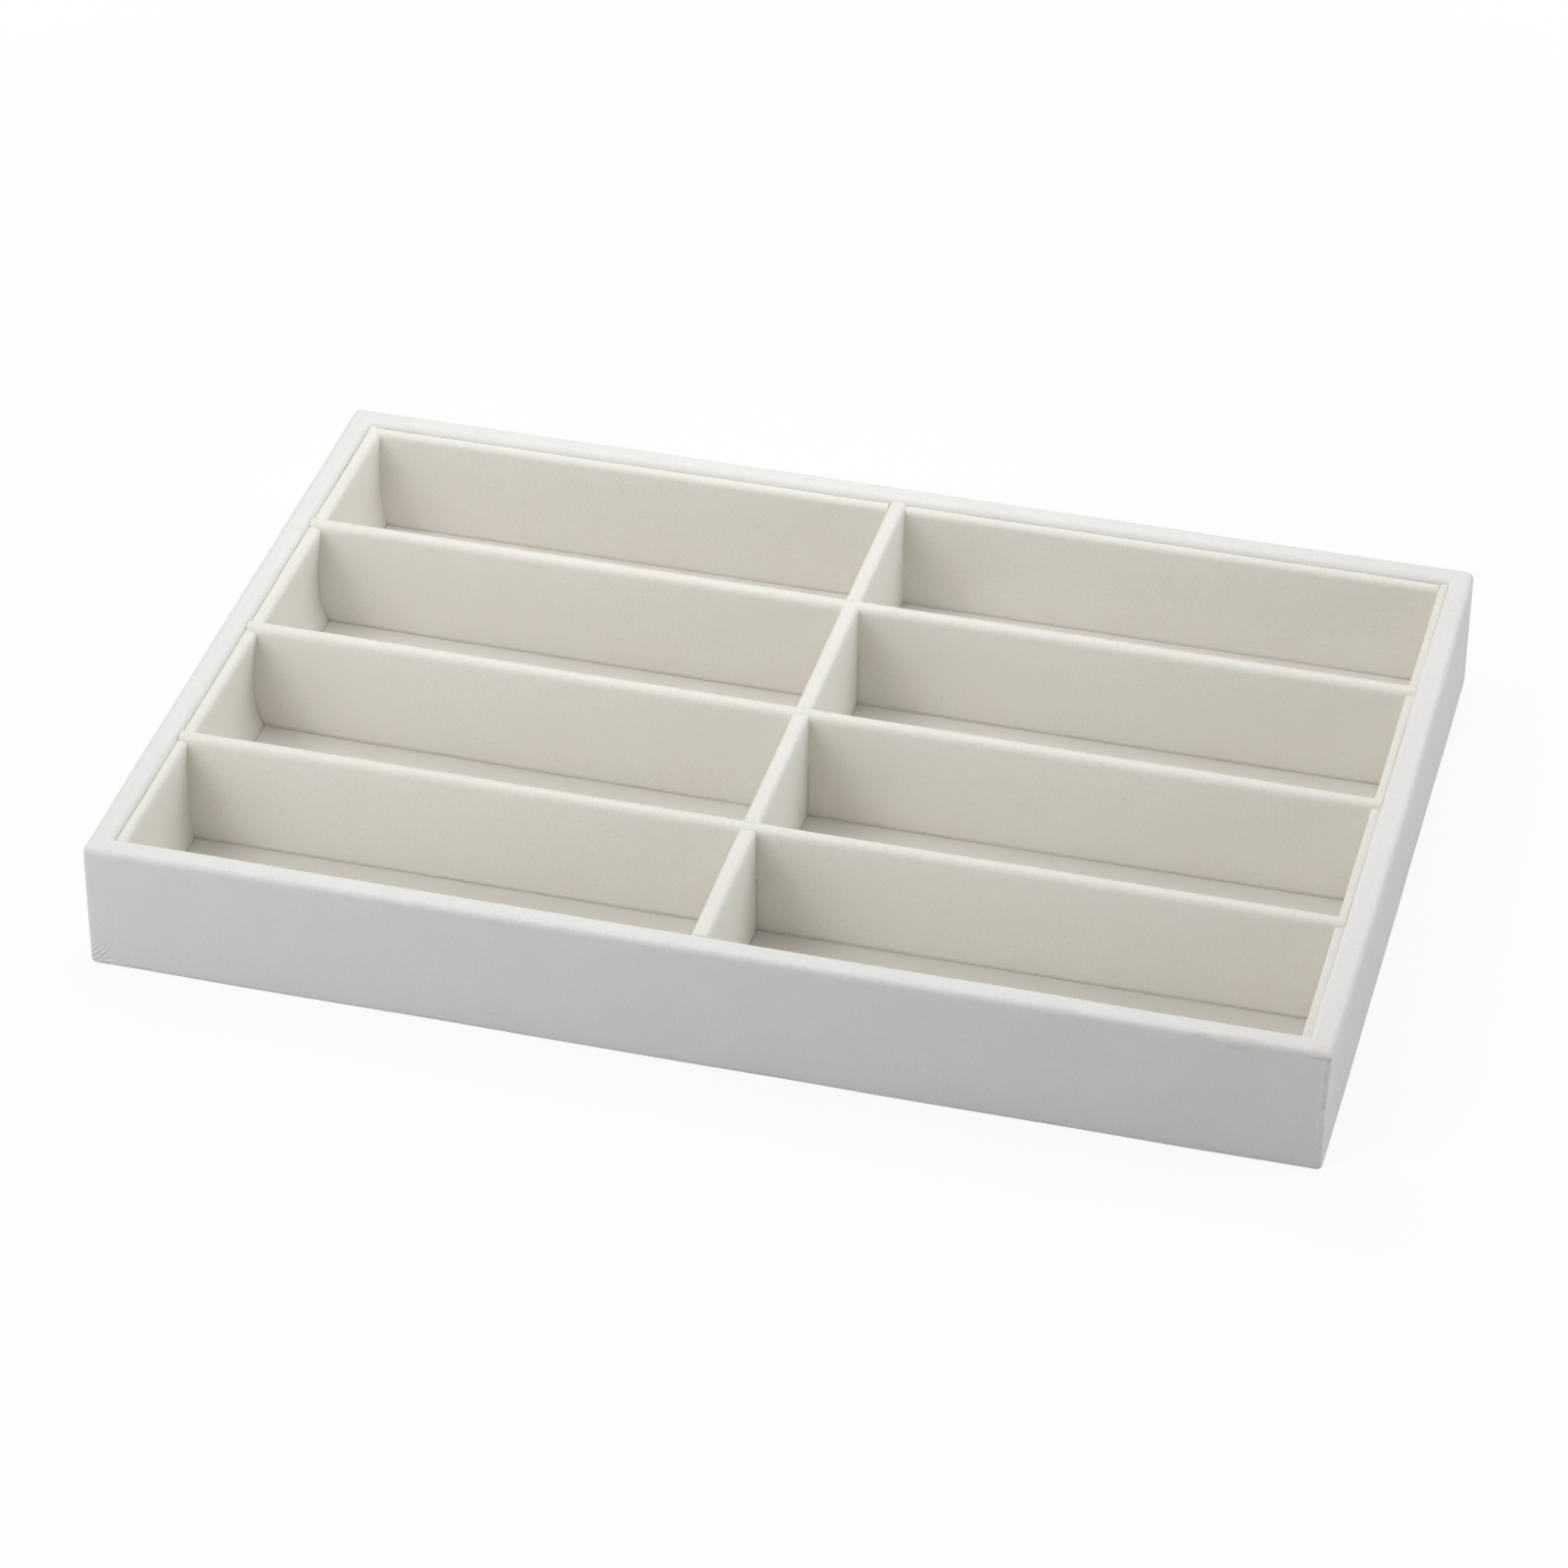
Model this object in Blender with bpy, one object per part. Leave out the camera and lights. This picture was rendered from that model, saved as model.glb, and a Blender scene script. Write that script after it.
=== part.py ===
"""Eyeglasses display tray: an open velour-covered tray of two columns by four rows.

Metres, +Z up, X from left to right, front at -Y, origin under the middle of the tray.
Every wall, liner, floor and divider is a board or card inside its own velour cover.
The centre divider and the row dividers are halved together and lift out.
"""

import math

import bmesh
import bpy

# Outside of the tray
TRAY_LENGTH = 0.350
TRAY_DEPTH = 0.240
TRAY_HEIGHT = 0.040
CORNER_ROUND = 0.0025  # upright corners
RIM_ROUND = 0.0020  # both top edges of the rim
FOOT_ROUND = 0.0015  # outer bottom edge

# Stock that the tray is made of
WALL_BOARD = 0.0055
BASE_PANEL = 0.0020
FLOOR_CARD = 0.0005
LINER_CARD = 0.0008
DIVIDER_BOARD = 0.0030
VELOUR = 0.0007
DIVIDER_VELOUR = 0.0008  # laid more loosely on the dividers than on the walls
HEM_WIDTH = 0.0065  # how far the outer cover turns in under the tray

# Layout of the compartments
ROW_COUNT = 4
COLUMN_COUNT = 2
ROW_END_MARGIN = 0.0050  # from the outside of the front or back to where the rows are counted
ROW_SHIFT = 0.0021  # how much nearer the front every row divider stands
LINER_DROP = 0.0016  # liner tops under the rim, at the left, right and back
FRONT_LINER_DROP = 0.0038
DIVIDER_DROP = 0.0005  # divider tops under the rim
LINER_ROUND = 0.0012
DIVIDER_END_ROUND = 0.0022
FLOOR_ROUND = 0.0006
TOP_FLAT = 0.0006  # left along the top of a divider between its two rounded edges

# Clearances
GLUE_LINE = 0.0003  # between a board and the cover glued to it
FIT_GAP = 0.0003  # between pieces set against each other
SLIDE_GAP = 0.0003  # each side of a divider in its channel or notch

CORNER_STEPS = 6
RIM_STEPS = 6
SMALL_STEPS = 3
LEAST_ROUND = 0.0002
CUTTER_MARGIN = 0.002
LIFT_POINT_SIZE = 0.01  # how large the empties are drawn

# Worked out from the sizes above
RIM_WIDTH = WALL_BOARD + 2 * (VELOUR + GLUE_LINE)
BOARD_INSET = VELOUR + GLUE_LINE
BASE_BOTTOM = VELOUR + GLUE_LINE
FLOOR_BOTTOM = BASE_BOTTOM + BASE_PANEL + GLUE_LINE
FLOOR_TOP = FLOOR_BOTTOM + FLOOR_CARD + GLUE_LINE + VELOUR
LINER_THICKNESS = LINER_CARD + 2 * (VELOUR + GLUE_LINE)
DIVIDER_THICKNESS = DIVIDER_BOARD + 2 * (DIVIDER_VELOUR + GLUE_LINE)
PARTITION_BOTTOM = FLOOR_TOP + FIT_GAP
DIVIDER_TOP = TRAY_HEIGHT - DIVIDER_DROP
HALVING_HEIGHT = (PARTITION_BOTTOM + DIVIDER_TOP) / 2
WELL_X = TRAY_LENGTH / 2 - RIM_WIDTH
WELL_Y = TRAY_DEPTH / 2 - RIM_WIDTH
ROW_PITCH = (TRAY_DEPTH - 2 * ROW_END_MARGIN) / ROW_COUNT
COLUMN_PITCH = TRAY_LENGTH / COLUMN_COUNT
ROW_DIVIDER_YS = [ROW_PITCH * (i + 1 - ROW_COUNT / 2) - ROW_SHIFT for i in range(ROW_COUNT - 1)]
LONG_DIVIDER_XS = [COLUMN_PITCH * (i + 1 - COLUMN_COUNT / 2) for i in range(COLUMN_COUNT - 1)]


def material(name, color, roughness):
    """One matte dielectric."""
    made = bpy.data.materials.new(name)
    made.use_nodes = True
    shader = made.node_tree.nodes["Principled BSDF"]
    shader.inputs["Base Color"].default_value = (*color, 1.0)
    shader.inputs["Roughness"].default_value = roughness
    shader.inputs["Metallic"].default_value = 0.0
    return made


def clear_scene():
    for obj in list(bpy.data.objects):
        bpy.data.objects.remove(obj, do_unlink=True)


def arc(centre, radius, start, end, steps):
    """Points from start to end degrees round a centre."""
    angles = [math.radians(start + (end - start) * i / steps) for i in range(steps + 1)]
    return [(centre[0] + radius * math.cos(a), centre[1] + radius * math.sin(a)) for a in angles]


def outline(half_x, half_y, rounds, steps):
    """A rectangle seen from above, anticlockwise from the back right corner.

    rounds holds one radius each for the back right, back left, front left and front right corner.
    """
    points = []
    signs = [(1, 1), (-1, 1), (-1, -1), (1, -1)]
    for quarter, ((sx, sy), radius) in enumerate(zip(signs, rounds)):
        centre = (sx * (half_x - radius), sy * (half_y - radius))
        if radius > 0:
            points += arc(centre, radius, 90 * quarter, 90 * quarter + 90, steps)
        else:
            points.append(centre)
    return points


def shrunk(rounds, inset):
    """The radii of an outline moved inwards: a square corner stays square."""
    return [max(radius - inset, LEAST_ROUND) if radius > 0 else 0 for radius in rounds]


def wall_profile(low, high, bottom_round, top_round, steps):
    """(inset, height) pairs up the side of a plate, with its rounded bottom and top edges."""
    pairs = []
    if bottom_round > 0:
        pairs += arc((bottom_round, low + bottom_round), bottom_round, 270, 180, steps)
    else:
        pairs.append((0, low))
    if top_round > 0:
        pairs += arc((top_round, high - top_round), top_round, 180, 90, steps)
    else:
        pairs.append((0, high))
    return pairs


def plate_rings(half_x, half_y, low, high, rounds, bottom_round, top_round, steps):
    """The outlines of a plate from its bottom to its top."""
    rings = []
    for inset, height in wall_profile(low, high, bottom_round, top_round, steps):
        flat = outline(half_x - inset, half_y - inset, shrunk(rounds, inset), steps)
        rings.append([(x, y, height) for x, y in flat])
    return rings


def skinned(name, rings, look, place=(0, 0, 0), parent=None, closed=False):
    """An object whose skin runs through the rings, capped at both ends or closed on itself."""
    bm = bmesh.new()
    loops = [[bm.verts.new(point) for point in ring] for ring in rings]
    pairs = list(zip(loops, loops[1:]))
    if closed:
        pairs.append((loops[-1], loops[0]))
    else:
        bm.faces.new(loops[0])
        bm.faces.new(loops[-1])
    for lower, upper in pairs:
        for i in range(len(lower)):
            j = (i + 1) % len(lower)
            bm.faces.new((lower[i], lower[j], upper[j], upper[i]))
    bmesh.ops.recalc_face_normals(bm, faces=bm.faces)
    mesh = bpy.data.meshes.new(name)
    bm.to_mesh(mesh)
    bm.free()
    mesh.shade_smooth()
    mesh.set_sharp_from_angle(angle=math.radians(35))
    mesh.materials.append(look)
    obj = bpy.data.objects.new(name, mesh)
    obj.location = place
    obj.parent = parent
    bpy.context.scene.collection.objects.link(obj)
    return obj


def plate(name, size, low, high, look, place=(0, 0), rounds=(0, 0, 0, 0), bottom_round=0, top_round=0):
    """A board or sheet lying flat or standing, its foot at height low."""
    rings = plate_rings(
        size[0] / 2, size[1] / 2, 0, high - low, rounds, bottom_round, top_round, SMALL_STEPS
    )
    return skinned(name, rings, look, (*place, low))


def covered(names, size, height, skin, edges, looks, place, parent=None):
    """A velour sleeve, open underneath, and the board glued inside it.

    names and looks give the cover first and the board second; skin is the velour's thickness;
    edges gives the radius of the upright edges and of the top edge.
    """
    half_x, half_y = size[0] / 2, size[1] / 2
    upright, top = edges
    shells = []
    for inset in (0, skin, skin + GLUE_LINE):
        rounds = [max(upright - inset, LEAST_ROUND)] * 4
        top_round = max(top - inset, LEAST_ROUND)
        shells.append(
            plate_rings(
                half_x - inset, half_y - inset, 0, height - inset, rounds, 0, top_round, SMALL_STEPS
            )
        )
    outside, pocket, board = shells
    cover = skinned(names[0], pocket[::-1] + outside, looks[0], place, parent)
    core = skinned(names[1], board, looks[1], place, parent)
    return cover, core


def cut_notches(pieces, boxes, name, parent):
    """Cuts every box, given as its centre and size under the parent, out of each piece."""
    bm = bmesh.new()
    for centre, size in boxes:
        made = bmesh.ops.create_cube(bm, size=1)
        bmesh.ops.scale(bm, vec=size, verts=made["verts"])
        bmesh.ops.translate(bm, vec=centre, verts=made["verts"])
    mesh = bpy.data.meshes.new(name)
    bm.to_mesh(mesh)
    bm.free()
    cutter = bpy.data.objects.new(name, mesh)
    cutter.parent = parent
    cutter.hide_render = True
    cutter.display_type = "WIRE"
    bpy.context.scene.collection.objects.link(cutter)
    for piece in pieces:
        notch = piece.modifiers.new("notches", "BOOLEAN")
        notch.operation = "DIFFERENCE"
        notch.solver = "EXACT"
        notch.object = cutter


def lift_point(name, place):
    """The empty that carries a divider and slides straight up with it."""
    empty = bpy.data.objects.new(name, None)
    empty.empty_display_size = LIFT_POINT_SIZE
    empty.location = place
    bpy.context.scene.collection.objects.link(empty)
    return empty


def spans(low, high, cuts, half_width):
    """The stretches from low to high that are left between the cuts."""
    edges = [low]
    for cut in cuts:
        edges += [cut - half_width, cut + half_width]
    edges.append(high)
    return list(zip(edges[::2], edges[1::2]))


def make_walls(look):
    """Front and back boards run full length, and the side boards stand between them."""
    high = TRAY_HEIGHT - BOARD_INSET
    corner = max(CORNER_ROUND - BOARD_INSET, LEAST_ROUND)
    foot = max(FOOT_ROUND - BOARD_INSET, LEAST_ROUND)
    top = max(RIM_ROUND - BOARD_INSET, LEAST_ROUND)
    long_size = (TRAY_LENGTH - 2 * BOARD_INSET, WALL_BOARD)
    side_size = (WALL_BOARD, TRAY_DEPTH - 2 * (BOARD_INSET + WALL_BOARD + FIT_GAP))
    side_x = TRAY_LENGTH / 2 - BOARD_INSET - WALL_BOARD / 2
    end_y = TRAY_DEPTH / 2 - BOARD_INSET - WALL_BOARD / 2
    for name, size, place, rounds in (
        ("front_wall_board", long_size, (0, -end_y), (0, 0, corner, corner)),
        ("back_wall_board", long_size, (0, end_y), (corner, corner, 0, 0)),
        ("left_wall_board", side_size, (-side_x, 0), (0, 0, 0, 0)),
        ("right_wall_board", side_size, (side_x, 0), (0, 0, 0, 0)),
    ):
        plate(name, size, BASE_BOTTOM, high, look, place, rounds, foot, top)


def make_bottom(board_look, cover_look, felt_look, card_look):
    """Base panel between the walls, the underside sheet in the hem, and the covered floor."""
    panel_inset = BOARD_INSET + WALL_BOARD + FIT_GAP
    panel_size = (TRAY_LENGTH - 2 * panel_inset, TRAY_DEPTH - 2 * panel_inset)
    plate("base_panel", panel_size, BASE_BOTTOM, BASE_BOTTOM + BASE_PANEL, board_look)
    sheet_inset = HEM_WIDTH + FIT_GAP
    sheet_size = (TRAY_LENGTH - 2 * sheet_inset, TRAY_DEPTH - 2 * sheet_inset)
    plate("underside_sheet", sheet_size, 0, VELOUR, felt_look)
    covered(
        ("floor_cover", "floor_card"),
        (2 * (WELL_X - FIT_GAP), 2 * (WELL_Y - FIT_GAP)),
        FLOOR_TOP - FLOOR_BOTTOM,
        VELOUR,
        (FLOOR_ROUND, FLOOR_ROUND),
        (cover_look, card_look),
        (0, 0, FLOOR_BOTTOM),
    )


def make_outer_cover(look):
    """One sheet from the hem up the outside, over the rim and down the inside of the walls."""
    top = TRAY_HEIGHT - RIM_ROUND
    rim_under = max(RIM_ROUND - VELOUR, LEAST_ROUND)
    foot_under = max(FOOT_ROUND - VELOUR, LEAST_ROUND)
    leg = RIM_WIDTH - VELOUR
    section = [(HEM_WIDTH, 0)]
    section += arc((FOOT_ROUND, FOOT_ROUND), FOOT_ROUND, 270, 180, SMALL_STEPS)
    section += arc((RIM_ROUND, top), RIM_ROUND, 180, 90, RIM_STEPS)
    section += arc((RIM_WIDTH - RIM_ROUND, top), RIM_ROUND, 90, 0, RIM_STEPS)
    section += [(RIM_WIDTH, FLOOR_BOTTOM), (leg, FLOOR_BOTTOM)]
    section += arc((leg - rim_under, TRAY_HEIGHT - VELOUR - rim_under), rim_under, 0, 90, SMALL_STEPS)
    section += arc((VELOUR + rim_under, TRAY_HEIGHT - VELOUR - rim_under), rim_under, 90, 180, SMALL_STEPS)
    section += arc((VELOUR + foot_under, VELOUR + foot_under), foot_under, 180, 270, SMALL_STEPS)
    section += [(HEM_WIDTH, VELOUR)]
    rings = []
    for inset, height in section:
        flat = outline(
            TRAY_LENGTH / 2 - inset,
            TRAY_DEPTH / 2 - inset,
            [max(CORNER_ROUND - inset, LEAST_ROUND)] * 4,
            CORNER_STEPS,
        )
        rings.append([(x, y, height) for x, y in flat])
    skinned("outer_cover", rings, look, closed=True)


def make_liners(cover_look, card_look):
    """Side liners stand between the row dividers, end liners between them and the long divider."""
    edges = (LINER_ROUND, LINER_ROUND)
    channel = DIVIDER_THICKNESS / 2 + SLIDE_GAP
    side_height = TRAY_HEIGHT - LINER_DROP - PARTITION_BOTTOM
    front_height = TRAY_HEIGHT - FRONT_LINER_DROP - PARTITION_BOTTOM
    side_x = WELL_X - FIT_GAP - LINER_THICKNESS / 2
    end_y = WELL_Y - FIT_GAP - LINER_THICKNESS / 2
    end_reach = WELL_X - 2 * FIT_GAP - LINER_THICKNESS
    side_spans = spans(-WELL_Y + FIT_GAP, WELL_Y - FIT_GAP, ROW_DIVIDER_YS, channel)
    end_spans = spans(-end_reach, end_reach, LONG_DIVIDER_XS, channel)
    for number, (low, high) in enumerate(side_spans, 1):
        for side, x in (("left", -side_x), ("right", side_x)):
            names = (f"{side}_liner_cover_{number}", f"{side}_liner_card_{number}")
            size = (LINER_THICKNESS, high - low)
            place = (x, (low + high) / 2, PARTITION_BOTTOM)
            covered(names, size, side_height, VELOUR, edges, (cover_look, card_look), place)
    for number, (low, high) in enumerate(end_spans, 1):
        for side, y, height in (("front", -end_y, front_height), ("back", end_y, side_height)):
            names = (f"{side}_liner_cover_{number}", f"{side}_liner_card_{number}")
            size = (high - low, LINER_THICKNESS)
            place = ((low + high) / 2, y, PARTITION_BOTTOM)
            covered(names, size, height, VELOUR, edges, (cover_look, card_look), place)


def make_dividers(cover_look, board_look):
    """The long divider is notched from above, and each row divider is notched from below."""
    height = DIVIDER_TOP - PARTITION_BOTTOM
    halving = HALVING_HEIGHT - PARTITION_BOTTOM
    notch_width = DIVIDER_THICKNESS + 2 * SLIDE_GAP
    across = DIVIDER_THICKNESS + 2 * CUTTER_MARGIN
    lower_notch = halving + SLIDE_GAP / 2 + CUTTER_MARGIN
    upper_notch = height - halving + SLIDE_GAP / 2 + CUTTER_MARGIN
    lower_middle = halving + SLIDE_GAP / 2 - lower_notch / 2
    upper_middle = halving - SLIDE_GAP / 2 + upper_notch / 2
    edges = (DIVIDER_END_ROUND, (DIVIDER_THICKNESS - TOP_FLAT) / 2)
    looks = (cover_look, board_look)
    for x in LONG_DIVIDER_XS:
        lift = lift_point("centre_divider_lift", (x, 0, PARTITION_BOTTOM))
        pieces = covered(
            ("centre_divider_cover", "centre_divider_board"),
            (DIVIDER_THICKNESS, 2 * (WELL_Y - SLIDE_GAP)),
            height,
            DIVIDER_VELOUR,
            edges,
            looks,
            (0, 0, 0),
            lift,
        )
        boxes = [((0, y, upper_middle), (across, notch_width, upper_notch)) for y in ROW_DIVIDER_YS]
        cut_notches(pieces, boxes, "centre_divider_notches", lift)
    for number, y in enumerate(ROW_DIVIDER_YS, 1):
        lift = lift_point(f"row_divider_lift_{number}", (0, y, PARTITION_BOTTOM))
        pieces = covered(
            (f"row_divider_cover_{number}", f"row_divider_board_{number}"),
            (2 * (WELL_X - SLIDE_GAP), DIVIDER_THICKNESS),
            height,
            DIVIDER_VELOUR,
            edges,
            looks,
            (0, 0, 0),
            lift,
        )
        boxes = [((x, 0, lower_middle), (notch_width, across, lower_notch)) for x in LONG_DIVIDER_XS]
        cut_notches(pieces, boxes, f"row_divider_notches_{number}", lift)


def main():
    clear_scene()
    velour = material("off_white_velour", (0.79, 0.78, 0.75), 0.95)
    lining = material("off_white_lining_velour", (0.77, 0.75, 0.70), 0.95)
    felt = material("underside_felt", (0.62, 0.61, 0.58), 0.98)
    fibreboard = material("fibreboard", (0.38, 0.26, 0.16), 0.8)
    card = material("grey_card", (0.42, 0.41, 0.39), 0.85)
    make_walls(fibreboard)
    make_bottom(fibreboard, lining, felt, card)
    make_outer_cover(velour)
    make_liners(lining, card)
    make_dividers(lining, fibreboard)


main()
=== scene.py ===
import math

import bmesh
import bpy
from mathutils import Matrix, Vector, noise


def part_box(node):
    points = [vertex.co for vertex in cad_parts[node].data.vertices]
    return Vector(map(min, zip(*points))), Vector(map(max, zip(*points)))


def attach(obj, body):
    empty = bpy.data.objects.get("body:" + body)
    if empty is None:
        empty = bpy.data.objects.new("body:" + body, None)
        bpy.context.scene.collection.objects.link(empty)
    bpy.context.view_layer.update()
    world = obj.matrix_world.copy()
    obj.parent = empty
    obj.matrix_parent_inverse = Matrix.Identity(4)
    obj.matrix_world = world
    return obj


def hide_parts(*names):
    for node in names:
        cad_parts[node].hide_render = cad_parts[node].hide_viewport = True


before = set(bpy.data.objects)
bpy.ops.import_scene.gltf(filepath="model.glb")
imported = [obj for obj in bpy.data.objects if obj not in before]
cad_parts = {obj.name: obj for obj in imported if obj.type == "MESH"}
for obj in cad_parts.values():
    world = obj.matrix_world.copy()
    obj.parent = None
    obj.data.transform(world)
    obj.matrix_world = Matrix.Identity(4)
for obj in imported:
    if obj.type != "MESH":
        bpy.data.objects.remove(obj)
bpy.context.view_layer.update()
millimetre = 0.001
print("frame loaded")


def linear(hexColor):
    # sRGB hex to the linear values that the shaders want
    values = [int(hexColor[i : i + 2], 16) / 255 for i in (0, 2, 4)]
    return [v / 12.92 if v <= 0.04045 else ((v + 0.055) / 1.055) ** 2.4 for v in values] + [1.0]


def addNode(tree, kind, settings=None, links=None):
    # settings fill a socket by its name or number, or else a property of the node
    node = tree.nodes.new(kind)
    for key, value in (settings or {}).items():
        if isinstance(key, int) or key in node.inputs.keys():
            node.inputs[key].default_value = value
        else:
            setattr(node, key, value)
    for key, source in (links or {}).items():
        tree.links.new(source, node.inputs[key])
    return node


def perMetre(sizeInMillimetres):
    # texture scale that draws features of this size
    return 1000 / sizeInMillimetres


def emptyMaterial(name):
    made = bpy.data.materials.new(name)
    made.use_nodes = True
    made.node_tree.nodes.clear()
    return made, made.node_tree


# the camera of the photograph, found from the tray's edges
photoCamera = {
    "target": (-0.0024, -0.0124, 0.0200),
    "distance": 1.5886,
    "azimuth": 14.67,
    "elevation": 35.66,
    "roll": 0.34,
    "lens": 127.0,
    "sensorWidth": 36,
    "clip": (0.05, 20),
}


def placeCamera(spec):
    azimuth, elevation = math.radians(spec["azimuth"]), math.radians(spec["elevation"])
    away = Vector((math.sin(azimuth), -math.cos(azimuth), 0)) * math.cos(elevation)
    away.z = math.sin(elevation)
    data = bpy.data.cameras.new("photoCamera")
    data.lens = spec["lens"]
    data.sensor_width = spec["sensorWidth"]
    data.clip_start, data.clip_end = spec["clip"]
    camera = bpy.data.objects.new("photoCamera", data)
    camera.location = Vector(spec["target"]) + away * spec["distance"]
    camera.rotation_euler = (-away).to_track_quat("-Z", "Y").to_euler()
    camera.rotation_euler.rotate_axis("Z", math.radians(spec["roll"]))
    bpy.context.scene.collection.objects.link(camera)
    bpy.context.scene.camera = camera


placeCamera(photoCamera)
print("camera placed")


# what all velour here has in common
pile = {
    "tufts": {"Detail": 3.0, "Roughness": 0.65},
    "clumps": {"Detail": 2.0, "Roughness": 0.5},
    "clouds": {"Detail": 2.0, "Roughness": 0.45, "Distortion": 0.6},
    # the part of each noise over which its colour comes in
    "tuftRange": (0.35, 0.70),
    "cloudRange": (0.38, 0.62),
    "markRange": (0.36, 0.60),
    "markLeast": 0.15,  # what is left of a mark between the clumps
    "markCore": 0.15,  # share of a mark's reach in which it is strongest
    "fineDepth": 0.25 * millimetre,
    "softDepth": 0.6 * millimetre,
    "roughness": 0.95,
    "specular": 0.12,
    "sheenRoughness": 0.55,
}


def wearAndPaintedLightSpot(tree, place, clumps, mark):
    # used for spots of wear and soil and for painted highlight and painted shadow: strongest in the middle of
    # the mark, nothing at its reach, and broken up by the clumps of the pile
    apart = addNode(tree, "ShaderNodeVectorMath", {"operation": "SUBTRACT", 1: mark["place"]}, {0: place})
    apart = addNode(tree, "ShaderNodeVectorMath", {"operation": "DIVIDE", 1: mark["reach"]},
                    {0: apart.outputs[0]})
    apart = addNode(tree, "ShaderNodeVectorMath", {"operation": "LENGTH"}, {0: apart.outputs[0]})
    near = addNode(tree, "ShaderNodeMapRange",
                   {"From Min": 1.0, "From Max": pile["markCore"], "To Max": mark["strength"]},
                   {"Value": apart.outputs["Value"]})
    broken = addNode(tree, "ShaderNodeMapRange",
                     {"From Min": pile["markRange"][0], "From Max": pile["markRange"][1],
                      "To Min": pile["markLeast"]},
                     {"Value": clumps.outputs["Fac"]})
    return addNode(tree, "ShaderNodeMath", {"operation": "MULTIPLY"},
                   {0: near.outputs["Result"], 1: broken.outputs["Result"]})


def mitreGroove(tree, place, mitre):
    # under the tray the turned-in edge is folded on the diagonal at each corner
    parts = addNode(tree, "ShaderNodeSeparateXYZ", {}, {0: place})
    sides = [addNode(tree, "ShaderNodeMath", {"operation": "ABSOLUTE"}, {0: parts.outputs[axis]})
             for axis in (0, 1)]
    apart = addNode(tree, "ShaderNodeMath", {"operation": "SUBTRACT"},
                    {0: sides[0].outputs[0], 1: sides[1].outputs[0]})
    apart = addNode(tree, "ShaderNodeMath", {"operation": "SUBTRACT", 1: mitre["offset"]},
                    {0: apart.outputs[0]})
    apart = addNode(tree, "ShaderNodeMath", {"operation": "ABSOLUTE"}, {0: apart.outputs[0]})
    line = addNode(tree, "ShaderNodeMapRange", {"From Min": mitre["width"], "From Max": 0.0},
                   {"Value": apart.outputs[0]})
    under = addNode(tree, "ShaderNodeMapRange",
                    {"From Min": mitre["under"][0], "From Max": mitre["under"][1]},
                    {"Value": parts.outputs[2]})
    return addNode(tree, "ShaderNodeMath", {"operation": "MULTIPLY"},
                   {0: line.outputs["Result"], 1: under.outputs["Result"]}).outputs[0]


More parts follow.
